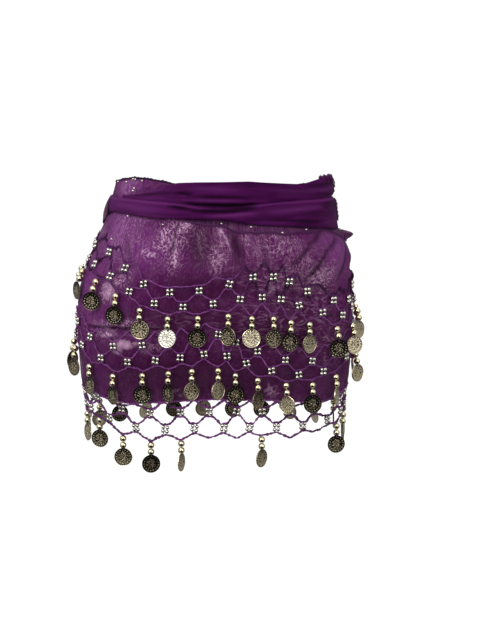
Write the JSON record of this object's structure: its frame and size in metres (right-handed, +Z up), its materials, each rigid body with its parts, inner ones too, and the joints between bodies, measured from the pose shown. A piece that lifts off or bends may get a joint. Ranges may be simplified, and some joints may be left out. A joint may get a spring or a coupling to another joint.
{
  "type": "belly dance hip scarf, worn",
  "caption": "Chiffon hip wrap held as worn, with a rolled sash at the waist and three crocheted nets hung with beads and coins.",
  "frame": {"origin": "centre of the waist opening, level with the chiffon's upper edge at the back, where the wearer's waist holds it", "axes": "+Z up towards the wearer's waist, -Y the front of the garment, +X the wearer's left"},
  "size_m": [0.3423, 0.2544, 0.3277],
  "materials": {
    "chiffon": "sheer purple chiffon",
    "sash": "purple chiffon in several layers, soft sheen",
    "crochet": "twisted purple crochet thread",
    "coins": "stamped coins, antique pale gold with dark recesses",
    "gold_beads": "polished pale gold",
    "silver_beads": "polished silver"
  },
  "bodies": {
    "root": {"hip_panel": "chiffon", "top_trim": "crochet", "side_trim": "crochet", "waist_sash": "sash", "sash_fan": "sash", "sash_trim": "crochet", "end_flap": "sash", "flap_trim": "crochet", "net_upper": "crochet", "net_middle": "crochet", "net_hem_front": "crochet", "net_hem_back": "crochet", "coins_upper": "coins", "coins_middle": "coins", "coins_hem": "coins"}
  },
  "joints": []
}
